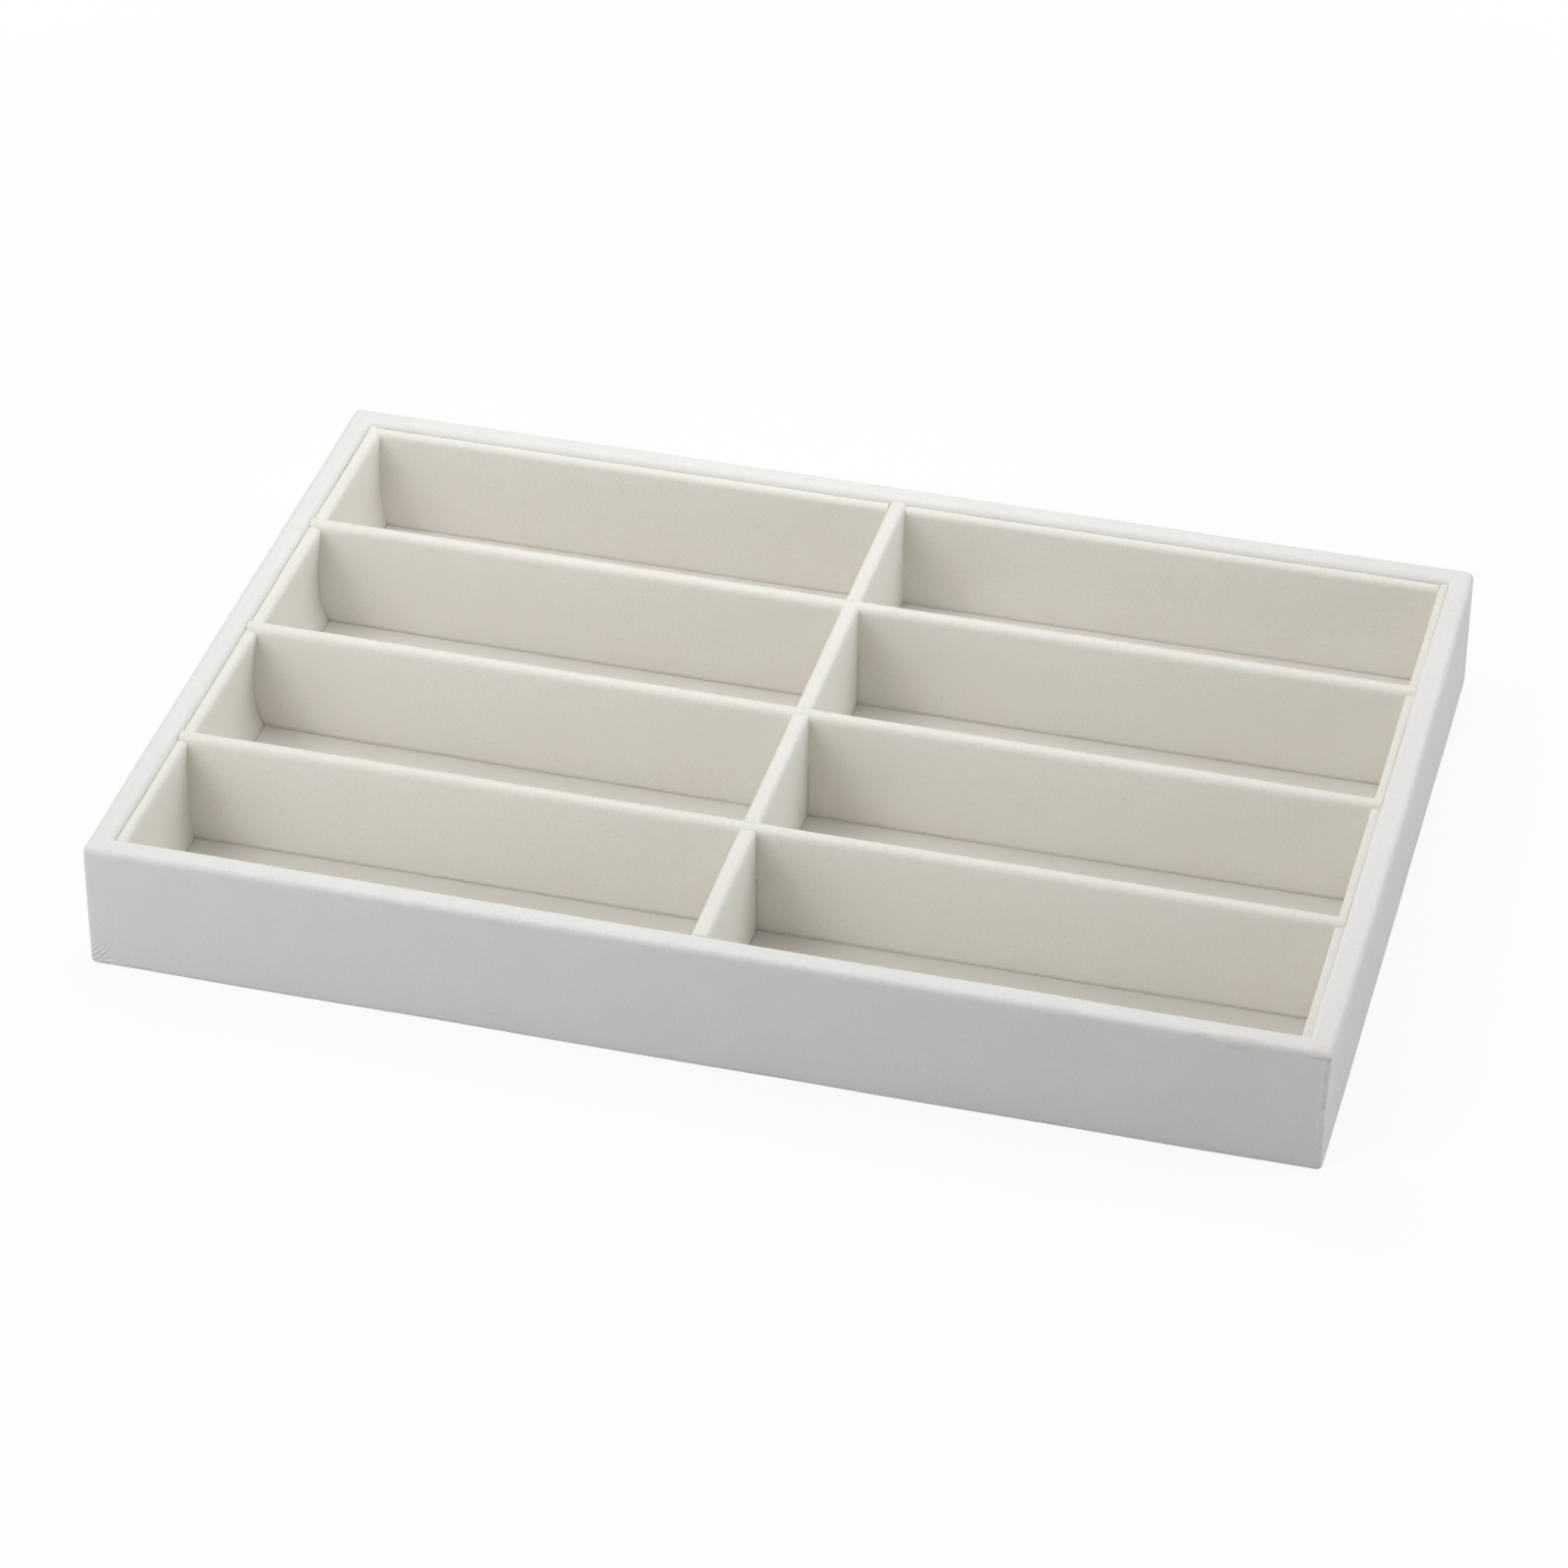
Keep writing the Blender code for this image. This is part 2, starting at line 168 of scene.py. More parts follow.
def velour(name, look):
    # Flocked polyester velour glued over board: a dense matt pile about half a millimetre high.
    # The eye gets a chalky surface, fine speckle, faint brushed clouds and a soft pale edge.
    made, tree = emptyMaterial(name)
    place = addNode(tree, "ShaderNodeTexCoord").outputs["Object"]
    # single fibres are 0.02 mm and can't show, so tufts are drawn 0.6 mm wide
    tufts = addNode(tree, "ShaderNodeTexNoise", {"Scale": perMetre(look["tuft"]), **pile["tufts"]},
                    {"Vector": place})
    clumps = addNode(tree, "ShaderNodeTexNoise", {"Scale": perMetre(look["clump"]), **pile["clumps"]},
                     {"Vector": place})
    clouds = addNode(tree, "ShaderNodeTexNoise", {"Scale": perMetre(look["cloud"]), **pile["clouds"]},
                     {"Vector": place})
    cloudMask = addNode(tree, "ShaderNodeMapRange",
                        {"From Min": pile["cloudRange"][0], "From Max": pile["cloudRange"][1]},
                        {"Value": clouds.outputs["Fac"]})
    tuftMask = addNode(tree, "ShaderNodeMapRange",
                       {"From Min": pile["tuftRange"][0], "From Max": pile["tuftRange"][1],
                        "To Max": look["speckle"]},
                       {"Value": tufts.outputs["Fac"]})
    color = addNode(tree, "ShaderNodeMix",
                    {"data_type": "RGBA", 6: linear(look["color"]), 7: linear(look["brushed"])},
                    {0: cloudMask.outputs["Result"]}).outputs[2]
    color = addNode(tree, "ShaderNodeMix", {"data_type": "RGBA", 7: linear(look["shadowed"])},
                    {0: tuftMask.outputs["Result"], 6: color}).outputs[2]
    # marks of wear and soil, and of painted highlight and painted shadow, laid over the colour
    for mark in look["marks"]:
        wearAndPaintedLight = wearAndPaintedLightSpot(tree, place, clumps, mark)
        color = addNode(tree, "ShaderNodeMix", {"data_type": "RGBA", 7: linear(mark["color"])},
                        {0: wearAndPaintedLight.outputs[0], 6: color}).outputs[2]
    fine = addNode(tree, "ShaderNodeBump", {"Strength": look["fineBump"], "Distance": pile["fineDepth"]},
                   {"Height": tufts.outputs["Fac"]})
    soft = addNode(tree, "ShaderNodeBump", {"Strength": look["softBump"], "Distance": pile["softDepth"]},
                   {"Height": clumps.outputs["Fac"], "Normal": fine.outputs["Normal"]})
    normal = soft.outputs["Normal"]
    if "mitre" in look:
        mitre = look["mitre"]
        groove = mitreGroove(tree, place, mitre)
        normal = addNode(tree, "ShaderNodeBump",
                         {"Strength": mitre["bump"], "Distance": mitre["depth"], "invert": True},
                         {"Height": groove, "Normal": normal}).outputs["Normal"]
        # painted shade along the fold's groove: the colour goes darker there
        paintedGrooveShade = addNode(tree, "ShaderNodeMath", {"operation": "MULTIPLY", 1: mitre["shade"]}, {0: groove})
        color = addNode(tree, "ShaderNodeMix", {"data_type": "RGBA", 7: linear(mitre["color"])},
                        {0: paintedGrooveShade.outputs[0], 6: color}).outputs[2]
    shader = addNode(tree, "ShaderNodeBsdfPrincipled",
                     {"Roughness": pile["roughness"], "Specular IOR Level": pile["specular"],
                      "Sheen Weight": look["sheen"], "Sheen Roughness": pile["sheenRoughness"]},
                     {"Base Color": color, "Normal": normal})
    addNode(tree, "ShaderNodeOutputMaterial", {}, {"Surface": shader.outputs[0]})
    return made


def pressedFelt(name, look):
    # Needled polyester felt under the tray: grey-white, matted, short loose fibres in all directions
    made, tree = emptyMaterial(name)
    place = addNode(tree, "ShaderNodeTexCoord").outputs["Object"]
    strands = addNode(tree, "ShaderNodeTexNoise", {"Scale": perMetre(look["strand"]), **look["strands"]},
                      {"Vector": place})
    mats = addNode(tree, "ShaderNodeTexNoise", {"Scale": perMetre(look["mat"])}, {"Vector": place})
    strandMask = addNode(tree, "ShaderNodeMapRange",
                         {"From Min": look["strandRange"][0], "From Max": look["strandRange"][1]},
                         {"Value": strands.outputs["Fac"]})
    color = addNode(tree, "ShaderNodeMix",
                    {"data_type": "RGBA", 6: linear(look["dark"]), 7: linear(look["light"])},
                    {0: strandMask.outputs["Result"]})
    color = addNode(tree, "ShaderNodeMix", {"data_type": "RGBA", 7: linear(look["patch"])},
                    {0: mats.outputs["Fac"], 6: color.outputs[2]})
    bump = addNode(tree, "ShaderNodeBump", {"Strength": look["bump"], "Distance": look["depth"]},
                   {"Height": strands.outputs["Fac"]})
    shader = addNode(tree, "ShaderNodeBsdfPrincipled", look["surface"],
                     {"Base Color": color.outputs[2], "Normal": bump.outputs["Normal"]})
    addNode(tree, "ShaderNodeOutputMaterial", {}, {"Surface": shader.outputs[0]})
    return made


# what fibreboard and grey card have in common
pressed = {
    "fibres": {"Detail": 4.0, "Roughness": 0.7},
    "fibreRange": (0.3, 0.7),
    "fleckRange": (0.22, 0.08),
    "fleckStrength": 0.7,
    "bump": 0.35,
    "depth": 0.2 * millimetre,
    "surface": {"Roughness": 0.85, "Specular IOR Level": 0.3},
}


def pressedBoard(name, look):
    # Wood fibre or waste paper pressed into board: short dark and light fibres, dull
    made, tree = emptyMaterial(name)
    place = addNode(tree, "ShaderNodeTexCoord").outputs["Object"]
    stretched = addNode(tree, "ShaderNodeMapping", {"Scale": look["grain"]}, {"Vector": place})
    fibres = addNode(tree, "ShaderNodeTexNoise", {"Scale": perMetre(look["fibre"]), **pressed["fibres"]},
                     {"Vector": stretched.outputs["Vector"]})
    flecks = addNode(tree, "ShaderNodeTexVoronoi", {"Scale": perMetre(look["fleck"])}, {"Vector": place})
    fibreMask = addNode(tree, "ShaderNodeMapRange",
                        {"From Min": pressed["fibreRange"][0], "From Max": pressed["fibreRange"][1]},
                        {"Value": fibres.outputs["Fac"]})
    fleckMask = addNode(tree, "ShaderNodeMapRange",
                        {"From Min": pressed["fleckRange"][0], "From Max": pressed["fleckRange"][1],
                         "To Max": pressed["fleckStrength"]},
                        {"Value": flecks.outputs["Distance"]})
    color = addNode(tree, "ShaderNodeMix",
                    {"data_type": "RGBA", 6: linear(look["dark"]), 7: linear(look["light"])},
                    {0: fibreMask.outputs["Result"]})
    color = addNode(tree, "ShaderNodeMix", {"data_type": "RGBA", 7: linear(look["speck"])},
                    {0: fleckMask.outputs["Result"], 6: color.outputs[2]})
    bump = addNode(tree, "ShaderNodeBump", {"Strength": pressed["bump"], "Distance": pressed["depth"]},
                   {"Height": fibres.outputs["Fac"]})
    shader = addNode(tree, "ShaderNodeBsdfPrincipled", pressed["surface"],
                     {"Base Color": color.outputs[2], "Normal": bump.outputs["Normal"]})
    addNode(tree, "ShaderNodeOutputMaterial", {}, {"Surface": shader.outputs[0]})
    return made


outerVelourLook = {
    "color": "efeeeb", "brushed": "edece9", "shadowed": "c9c8c4",
    "tuft": 0.6, "clump": 2.4, "cloud": 16.0,
    "speckle": 0.26, "fineBump": 0.30, "softBump": 0.16, "sheen": 0.12,
    # each mark covers the ones before it
    "marks": [
        # painted highlight along the upright front right corner, lightening the shade that falls on its
        # rounding
        {"place": (0.1747, -0.1196, 0.0160), "reach": (0.0026, 0.0026, 0.0700),
         "color": "fbfbf9", "strength": 1.0},
        # soiled and rubbed at the front right top corner, where the fold of the sheet is glued, with painted
        # shadow under the fold
        {"place": (0.1722, -0.1180, 0.0400), "reach": (0.0036, 0.0046, 0.0020),
         "color": "eed0c2", "strength": 0.6},
        {"place": (0.1750, -0.1196, 0.0376), "reach": (0.0013, 0.0013, 0.0011),
         "color": "75644a", "strength": 0.8},
        # painted shadow: a thin grey line just under the rim edge, left of the corner
        {"place": (0.1722, -0.1198, 0.0382), "reach": (0.0040, 0.0014, 0.0006),
         "color": "80827a", "strength": 0.4},
        # rubbed along the front edge
        {"place": (0.1407, -0.1196, 0.0391), "reach": (0.0040, 0.0018, 0.0010),
         "color": "d3b3a6", "strength": 0.5},
        {"place": (0.1500, -0.1190, 0.0396), "reach": (0.0080, 0.0016, 0.0010),
         "color": "ecd2c6", "strength": 0.5},
        {"place": (0.1495, -0.1200, 0.0372), "reach": (0.0042, 0.0016, 0.0012),
         "color": "c4b3b4", "strength": 0.3},
    ],
    # the offset is half the tray's length less half its width; the groove is whole at the second height
    # the dark colour along the groove is painted shade
    "mitre": {"offset": 55 * millimetre, "width": 0.25 * millimetre,
              "under": (1.2 * millimetre, 0.4 * millimetre),
              "depth": 0.4 * millimetre, "bump": 0.8, "shade": 0.5, "color": "6f6e69"},
}
liningVelourLook = {
    "color": "efede7", "brushed": "efece4", "shadowed": "cccabf",
    "tuft": 0.6, "clump": 2.2, "cloud": 14.0,
    "speckle": 0.26, "fineBump": 0.30, "softBump": 0.14, "sheen": 0.12,
    "marks": [
        # a fleck of lint on the back row divider
        {"place": (0.1488, 0.0528, 0.0143), "reach": (0.0006, 0.0012, 0.0006),
         "color": "7d7868", "strength": 0.8},
    ],
}
feltLook = {
    "dark": "a8a69f", "light": "cfcdc6", "patch": "bcbab3",
    "strand": 0.7, "mat": 9.0,
    "strands": {"Detail": 4.0, "Roughness": 0.7, "Distortion": 2.5},
    "strandRange": (0.35, 0.65),
    "bump": 0.6, "depth": 0.4 * millimetre,
    "surface": {"Roughness": 0.97, "Specular IOR Level": 0.1, "Sheen Weight": 0.25, "Sheen Roughness": 0.6},
}
fibreboardLook = {
    "dark": "5d4630", "light": "957557", "speck": "3e2c1c",
    "fibre": 0.9, "fleck": 2.6, "grain": (0.35, 1.0, 1.0),
}
greyCardLook = {
    "dark": "8d8b85", "light": "b3b1aa", "speck": "66645f",
    "fibre": 0.6, "fleck": 1.8, "grain": (1.0, 0.5, 1.0),
}

outerVelour = velour("offWhiteVelour", outerVelourLook)
liningVelour = velour("offWhiteLiningVelour", liningVelourLook)
underFelt = pressedFelt("needledFelt", feltLook)
fibreboard = pressedBoard("fibreboard", fibreboardLook)
greyCard = pressedBoard("greyCard", greyCardLook)
print("materials made")


# the first three are distances in metres within which places count as the same, the others are cosines
limits = {"cut": 1e-7, "plane": 1e-6, "height": 1e-5, "along": 0.98, "corner": 0.6}


def roundedLoop(bm, half, radius, height, steps):
    # the outline of a rounded rectangle at a height, as a ring of edges
    before = set(bm.faces)
    corners = bmesh.ops.create_grid(bm, x_segments=1, y_segments=1, size=1.0)["verts"]
    bmesh.ops.scale(bm, vec=(half[0], half[1], 1), verts=corners)
    bmesh.ops.translate(bm, vec=(0, 0, height), verts=corners)
    bmesh.ops.bevel(bm, geom=corners, offset=radius, offset_type="OFFSET", segments=steps, profile=0.5,
                    affect="VERTICES", clamp_overlap=False, material=-1)
    face = [f for f in bm.faces if f not in before][0]
    ring = list(face.edges)
    bmesh.ops.delete(bm, geom=[face], context="FACES_ONLY")
    return ring


def plainBox(low, high):
    bm = bmesh.new()
    made = bmesh.ops.create_cube(bm, size=1.0)["verts"]
    bmesh.ops.scale(bm, vec=high - low, verts=made)
    bmesh.ops.translate(bm, vec=(low + high) / 2, verts=made)
    return bm


def roundEdges(bm, edges, radius, steps):
    bmesh.ops.bevel(bm, geom=edges, offset=radius, offset_type="OFFSET", segments=steps, profile=0.5,
                    affect="EDGES", clamp_overlap=True, material=-1)


def runsAlong(edge, axis):
    step = edge.verts[1].co - edge.verts[0].co
    return abs(step[axis]) > limits["along"] * step.length


def isCorner(edge):
    # two faces meet here at a right angle, more or less
    faces = edge.link_faces
    return len(faces) == 2 and abs(faces[0].normal.dot(faces[1].normal)) < limits["corner"]


def cutAlong(bm, cuts):
    # each entry is an axis, a number of cuts and the shortest edge along that axis that gets them, in metres
    for axis, count, shortest in cuts:
        edges = [e for e in bm.edges if runsAlong(e, axis) and e.calc_length() > shortest]
        bmesh.ops.subdivide_edges(bm, edges=edges, cuts=count, use_grid_fill=True)


def cutFiner(bm, low, high, longest):
    # cuts the edges inside a box in two until none is longer
    def inside(place):
        return all(least <= value <= most for least, value, most in zip(low, place, high))

    while True:
        edges = [e for e in bm.edges if e.calc_length() > longest and all(inside(v.co) for v in e.verts)]
        if not edges:
            return
        bmesh.ops.subdivide_edges(bm, edges=edges, cuts=1, use_grid_fill=True)


def smoothStep(value, low, high):
    share = min(max((value - low) / (high - low), 0), 1)
    return share * share * (3 - 2 * share)


# the cloth is still up to the first distance from a held place and free from the second one on
rippling = {"held": (4 * millimetre, 16 * millimetre), "seedScale": (1, 2.3, 0.7)}


def ripple(bm, wave, seed, axis=0, calm=()):
    # cloth never lies quite flat on its board; it lies still where another piece holds it
    bm.normal_update()
    start = Vector([seed * scale for scale in rippling["seedScale"]])
    for vert in bm.verts:
        near = min((abs(vert.co[axis] - place) for place in calm), default=math.inf)
        share = smoothStep(near, *rippling["held"])
        vert.co += vert.normal * share * wave["height"] * noise.noise(vert.co / wave["length"] + start)


def addPiece(name, bm, body, replaced, look):
    mesh = bpy.data.meshes.new(name)
    bm.to_mesh(mesh)
    bm.free()
    mesh.materials.append(look)
    piece = bpy.data.objects.new(name, mesh)
    bpy.context.scene.collection.objects.link(piece)
    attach(piece, body)
    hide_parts(replaced)
    return piece


def thicken(piece, cloth):
    # smooth cloth of an even thickness, laid inwards from its outside face
    piece.data.shade_smooth()
    thick = piece.modifiers.new("clothThickness", "SOLIDIFY")
    thick.thickness = cloth
    thick.offset = -1


def addCover(name, bm, cloth, body, replaced, look):
    # velour glued over board, its roundings softened
    bmesh.ops.recalc_face_normals(bm, faces=bm.faces)
    piece = addPiece(name, bm, body, replaced, look)
    rounder = piece.modifiers.new("softSurface", "SUBSURF")
    rounder.levels = rounder.render_levels = 1
    thicken(piece, cloth)
    return piece


# the outer cover is one sheet from the hem, up the walls, over the rim and down inside
outerCover = {
    "cloth": 0.7 * millimetre,
    "rimWidths": (6.95 * millimetre, 7.5 * millimetre),  # at the sides, and at the front and back
    "wellShift": 0.15 * millimetre,  # the right rim is a little narrower than the left
    "hemWidth": 6.5 * millimetre,
    "insideFoot": 3.3 * millimetre,
    "cornerRadii": (1.7 * millimetre, 2.2 * millimetre),  # at the foot and at the top
    "innerCornerRadius": 0.4 * millimetre,
    "cornerSteps": 6,
    "rimRadius": 2.0 * millimetre,
    "rimSteps": 5,
    "footRadius": 1.5 * millimetre,
    "footSteps": 4,
    "ringSpacing": 0.2,
    "cuts": ((0, 56, 0.1), (1, 38, 0.1), (2, 7, 0.02)),
    "wave": {"height": 0.16 * millimetre, "length": 34 * millimetre},
    "seed": 3.1,
    # the top of the right wall bows outwards: how far at the front corner and the middle, nothing at the back
    "rightBow": {"front": 0.4 * millimetre, "middle": 1.0 * millimetre,
                 "from": 12 * millimetre, "to": 38 * millimetre},
    # small folds side by side where the sheet is tucked under at the front left corner
    "folds": [
        {"place": (-0.1722, -0.1200, 0.0045), "reach": (0.0036, 0.0040, 0.0034),
         "across": (0.71, 0, -0.71), "pitch": 1.3 * millimetre, "depth": 0.20 * millimetre},
        {"place": (-0.1695, -0.1200, 0.0018), "reach": (0.0068, 0.0040, 0.0024),
         "across": (0.2, 0, -0.98), "pitch": 1.2 * millimetre, "depth": 0.13 * millimetre},
    ],
    "foldCore": 0.15,  # share of a fold's reach in which it is deepest
    "foldBox": ((-0.176, -0.121, -0.001), (-0.161, -0.117, 0.011)),
    "foldCut": 0.35 * millimetre,
}


def layFold(bm, fold, core):
    # deepest in the middle of the fold's spot and nothing at its reach
    bm.normal_update()
    for vert in bm.verts:
        apart = Vector([(value - middle) / reach
                        for value, middle, reach in zip(vert.co, fold["place"], fold["reach"])])
        share = min(max((1 - apart.length) / (1 - core), 0), 1)
        turns = vert.co.dot(Vector(fold["across"])) / fold["pitch"]
        vert.co += vert.normal * fold["depth"] * share * math.sin(2 * math.pi * turns)


def bowRight(bm, spec, high):
    bow = spec["rightBow"]
    for vert in bm.verts:
        along = vert.co.y / high.y
        out = bow["front"] * (1 - along) / 2 + (bow["middle"] - bow["front"] / 2) * (1 - along ** 2)
        rise = smoothStep(vert.co.z, bow["from"], bow["to"])
        outside = smoothStep(vert.co.x, high.x - spec["rimWidths"][0], high.x - spec["rimRadius"])
        vert.co.x += out * rise * outside


def makeOuterCover(spec):
    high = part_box("outer_cover")[1]
    top = high.z
    hem, edge, rim = (spec["hemWidth"],) * 2, (0, 0), spec["rimWidths"]
    inner, aside = spec["innerCornerRadius"], spec["wellShift"]
    # inset, height, corner radius and shift to the right of each ring, from the hem to the inside foot
    stations = (
        (hem, 0, inner, 0),
        (edge, 0, spec["cornerRadii"][0], 0),
        (edge, top, spec["cornerRadii"][1], 0),
        (rim, top, inner, aside),
        (rim, spec["insideFoot"], inner, aside),
    )
    bm = bmesh.new()
    # the rings are bridged while they stand well apart, then each goes to its height
    spacing = spec["ringSpacing"]
    rings = [roundedLoop(bm, (high.x - inset[0], high.y - inset[1]), radius, spacing * level,
                         spec["cornerSteps"])
             for level, (inset, height, radius, shift) in enumerate(stations)]
    for first, second in zip(rings, rings[1:]):
        bmesh.ops.bridge_loops(bm, edges=first + second)
    for level, (ring, (inset, height, radius, shift)) in enumerate(zip(rings, stations)):
        ringVerts = list({v for e in ring for v in e.verts})
        bmesh.ops.translate(bm, vec=(shift, 0, height - spacing * level), verts=ringVerts)
    roundEdges(bm, rings[2] + rings[3], spec["rimRadius"], spec["rimSteps"])
    roundEdges(bm, rings[1], spec["footRadius"], spec["footSteps"])
    cutAlong(bm, spec["cuts"])
    cutFiner(bm, *spec["foldBox"], spec["foldCut"])
    ripple(bm, spec["wave"], spec["seed"])
    for fold in spec["folds"]:
        layFold(bm, fold, spec["foldCore"])
    bowRight(bm, spec, high)
    for vert in bm.verts:
        vert.co.z = max(vert.co.z, 0)
    piece = addCover("outerCover", bm, spec["cloth"], "tray", "outer_cover", outerVelour)


makeOuterCover(outerCover)
print("outer cover made")

# how finely the roundings of wrapped boards are drawn
wrapSteps = {"top": 5, "end": 4}


def inNotch(face, notch):
    centre = face.calc_center_median()
    return notch["from"] < centre.x < notch["to"] and (centre.z > notch["level"]) == notch["openAbove"]


# liners and dividers are boards wrapped in velour
def boardShape(low, high, lengthAxis, notches, radii, hold):
    # the board's side elevation with its notches, pulled out to its thickness and rounded;
    # an extra cut at the distance hold beside each rounding keeps it tight when the surface is softened
    middle = (low + high) / 2
    size = high - low
    length, thickness = size[lengthAxis], size[1 - lengthAxis]
    bm = bmesh.new()
    made = bmesh.ops.create_grid(bm, x_segments=1, y_segments=1, size=0.5)["verts"]
    bmesh.ops.scale(bm, vec=(length, size.z, 1), verts=made)
    bmesh.ops.rotate(bm, cent=(0, 0, 0), matrix=Matrix.Rotation(math.radians(90), 3, "X"), verts=made)
    bmesh.ops.translate(bm, vec=(0, -thickness / 2, size.z / 2), verts=made)
    upright = [radii["end"] + hold - length / 2, length / 2 - radii["end"] - hold]
    flat = [size.z - max(radii["top"]) - hold]
    for notch in notches:
        upright += [notch["from"] - notch["radii"][0] - hold, notch["from"]]
        upright += [notch["to"], notch["to"] + notch["radii"][1] + hold]
        flat += [notch["level"] - hold, notch["level"], notch["level"] + hold]
    planes = [((x, 0, 0), (1, 0, 0)) for x in upright] + [((0, 0, z), (0, 0, 1)) for z in flat]
    for place, direction in planes:
        bmesh.ops.bisect_plane(bm, geom=bm.verts[:] + bm.edges[:] + bm.faces[:], dist=limits["cut"],
                               plane_co=place, plane_no=direction)
    gone = [f for f in bm.faces if any(inNotch(f, notch) for notch in notches)]
    bmesh.ops.delete(bm, geom=gone, context="FACES")
    pulled = bmesh.ops.extrude_face_region(bm, geom=bm.faces[:])["geom"]
    pulledVerts = [part for part in pulled if isinstance(part, bmesh.types.BMVert)]
    bmesh.ops.translate(bm, vec=(0, thickness, 0), verts=pulledVerts)
    bmesh.ops.recalc_face_normals(bm, faces=bm.faces)
    for face, radius in zip((-thickness / 2, thickness / 2), radii["top"]):
        topEdges = [e for e in bm.edges if runsAlong(e, 0) and isCorner(e)
                    and all(v.co.z > size.z - limits["plane"] and abs(v.co.y - face) < limits["plane"]
                            for v in e.verts)]
        roundEdges(bm, topEdges, radius, wrapSteps["top"])
    # each end stands on a plane across the board, between two heights
    ends = [(-length / 2, 0, size.z, radii["end"]), (length / 2, 0, size.z, radii["end"])]
    for notch in notches:
        reach = (notch["level"], size.z) if notch["openAbove"] else (0, notch["level"] + limits["plane"])
        ends += [(notch["from"], *reach, notch["radii"][0]), (notch["to"], *reach, notch["radii"][1])]
    for place, bottom, top, radius in ends:
        endEdges = [e for e in bm.edges if isCorner(e)
                    and all(abs(v.co.x - place) < limits["plane"] for v in e.verts)
                    and bottom < sum(v.co.z for v in e.verts) / 2 - limits["height"] < top]
        roundEdges(bm, endEdges, radius, wrapSteps["end"])
    under = [f for f in bm.faces if all(v.co.z < limits["plane"] for v in f.verts)]
    bmesh.ops.delete(bm, geom=under, context="FACES")
    if lengthAxis == 1:
        bmesh.ops.rotate(bm, cent=(0, 0, 0), matrix=Matrix.Rotation(math.radians(90), 3, "Z"), verts=bm.verts)
    bmesh.ops.translate(bm, vec=(middle.x, middle.y, low.z), verts=bm.verts)
    return bm


liner = {
    "cloth": 0.6 * millimetre,
    "insideRound": {"left": 1.9 * millimetre, "right": 0.9 * millimetre,
                    "front": 1.9 * millimetre, "back": 1.9 * millimetre},
    "wallRound": {"left": 0.7 * millimetre, "right": 0.3 * millimetre,
                  "front": 0.8 * millimetre, "back": 0.8 * millimetre},
    "endRound": 0.25 * millimetre,
    "hold": 0.6 * millimetre,
    "endReach": 0.45 * millimetre,
    "cornerReach": 1.3 * millimetre,  # the front and back liners run in behind the side ones
    "standGap": 0.45 * millimetre,  # the cloth is pressed into the floor pad
    # the cloth is pressed against the rim
    "wallReach": {"left": 0.74 * millimetre, "right": 1.05 * millimetre,
                  "front": 0.34 * millimetre, "back": 0.34 * millimetre},
    # millimetres that the face stands out, is hollow below the middle, kicks out at the foot, and leans back
    "bends": {
        "left1": (-0.35, 0.7, 0.4, 0), "left2": (0.2, 2.2, 0.7, 0),
        "left3": (0.65, 2.1, 0.9, 0), "left4": (0.5, 0.8, 1.2, 0),
        "right": (0, 0.3, 0.4, 1.4), "front": (0, 0.2, 0.3, 0), "back": (0, 0.1, 0.3, 0),
    },
    "hollowPlace": 0.68,  # below 1 the deepest point lies under half the height
    "kickHeight": 12 * millimetre,
    # for those that run from left to right, and from front to back
    "cuts": (((0, 34, 0.02), (2, 9, 0.02)), ((1, 11, 0.02), (2, 9, 0.02))),
    "cardCuts": ((2, 15, 0.02),),
    "knifeEdge": 0.08 * millimetre,  # the card's edges are only just broken by the knife
    "wave": {"height": 0.14 * millimetre, "length": 22 * millimetre},
    "seeds": {"left": 28, "right": 35, "front": 35, "back": 28},
}
# the row dividers stand a little askew, and the liners between them follow
askew = {1: -0.0015, 2: -0.0038, 3: -0.0036}


def bendFace(bm, bend, across, wall, low, high, spec):
    # the side on the wall stays, the side that shows moves the whole way, and the card inside goes along
    out, hollow, kick, lean = bend
    face = high[across] + low[across] - wall
    for vert in bm.verts:
        rise = min(max((vert.co.z - low.z) / (high.z - low.z), 0), 1)
        foot = 1 - smoothStep(vert.co.z - low.z, 0, spec["kickHeight"])
        dip = math.sin(math.pi * rise ** spec["hollowPlace"])
        share = (vert.co[across] - wall) / abs(face - wall)
        vert.co[across] += share * millimetre * (out - hollow * dip + kick * foot - lean * rise)


